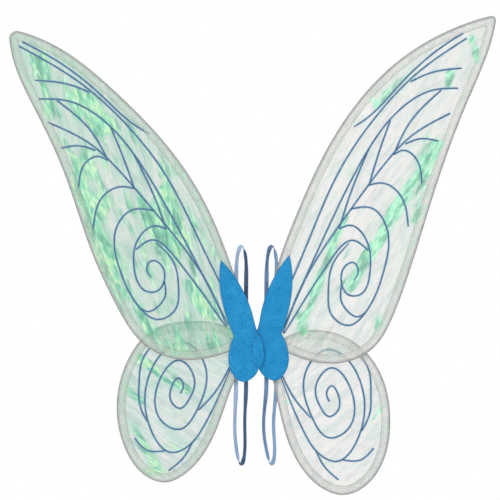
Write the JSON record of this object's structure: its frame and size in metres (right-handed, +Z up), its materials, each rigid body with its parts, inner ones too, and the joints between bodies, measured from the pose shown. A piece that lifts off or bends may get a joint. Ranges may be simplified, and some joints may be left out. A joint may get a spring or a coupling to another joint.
{
  "type": "fairy wings",
  "caption": "Costume fairy wings: clear film wings with wired ribbon edges, joined at felt tabs by hook and loop, with elastic arm loops behind.",
  "frame": {"origin": "middle of the overlapping felt tabs, on the flat face that lies against the wearer's back", "axes": "+Z up, +X to the right of someone looking at the front, -Y the front, +Y towards the wearer"},
  "size_m": [0.6816, 0.0146, 0.6715],
  "materials": {
    "film": "clear iridescent film with a green and lilac sheen",
    "binding_ribbon": "silvery white translucent ribbon",
    "spring_wire": "bright drawn wire",
    "ferrule": "crimped",
    "felt": "matte pressed felt",
    "thread": "twisted thread",
    "elastic": "ribbed woven elastic",
    "hook_tape": "stiff hooks",
    "loop_tape": "brushed loops"
  },
  "bodies": {
    "right_tab": {"right_felt_tab": "felt", "loop_patch": "loop_tape"},
    "left_tab": {"left_felt_tab": "felt", "hook_patch": "hook_tape"},
    "right_half": {"right_upper_film": "film", "right_upper_binding": "binding_ribbon", "right_upper_frame_wire": "spring_wire", "right_lower_film": "film", "right_lower_binding": "binding_ribbon", "right_lower_frame_wire": "spring_wire", "right_wire_ferrules": "ferrule", "right_front_felt": "felt", "right_back_felt": "felt", "right_pocket_stitches": "thread", "right_loop_tacks": "thread"},
    "left_half": {"left_upper_film": "film", "left_upper_binding": "binding_ribbon", "left_upper_frame_wire": "spring_wire", "left_lower_film": "film", "left_lower_binding": "binding_ribbon", "left_lower_frame_wire": "spring_wire", "left_wire_ferrules": "ferrule", "left_front_felt": "felt", "left_back_felt": "felt", "left_pocket_stitches": "thread", "left_loop_tacks": "thread"},
    "right_loop": {"right_arm_loop": "elastic", "right_loop_seam": "thread"},
    "left_loop": {"left_arm_loop": "elastic", "left_loop_seam": "thread"}
  },
  "joints": [
    {"name": "left_detach", "type": "slide", "parent": "right_tab", "child": "left_tab", "axis": [0, -1, 0], "range_m": [0, 0.06]},
    {"name": "right_fold", "type": "hinge", "parent": "right_tab", "child": "right_half", "pos_m": [0.01, -0.0006, 0], "axis": [0, 0, -1], "range_deg": [-15, 85]},
    {"name": "left_fold", "type": "hinge", "parent": "left_tab", "child": "left_half", "pos_m": [-0.01, -0.0041, 0], "axis": [0, 0, 1], "range_deg": [-15, 85]},
    {"name": "right_loop_swing", "type": "hinge", "parent": "right_half", "child": "right_loop", "pos_m": [0.0095, 0.0083, 0], "axis": [0, 0, 1], "range_deg": [0, 90]},
    {"name": "left_loop_swing", "type": "hinge", "parent": "left_half", "child": "left_loop", "pos_m": [-0.013, 0.0048, 0], "axis": [0, 0, -1], "range_deg": [0, 90]}
  ]
}
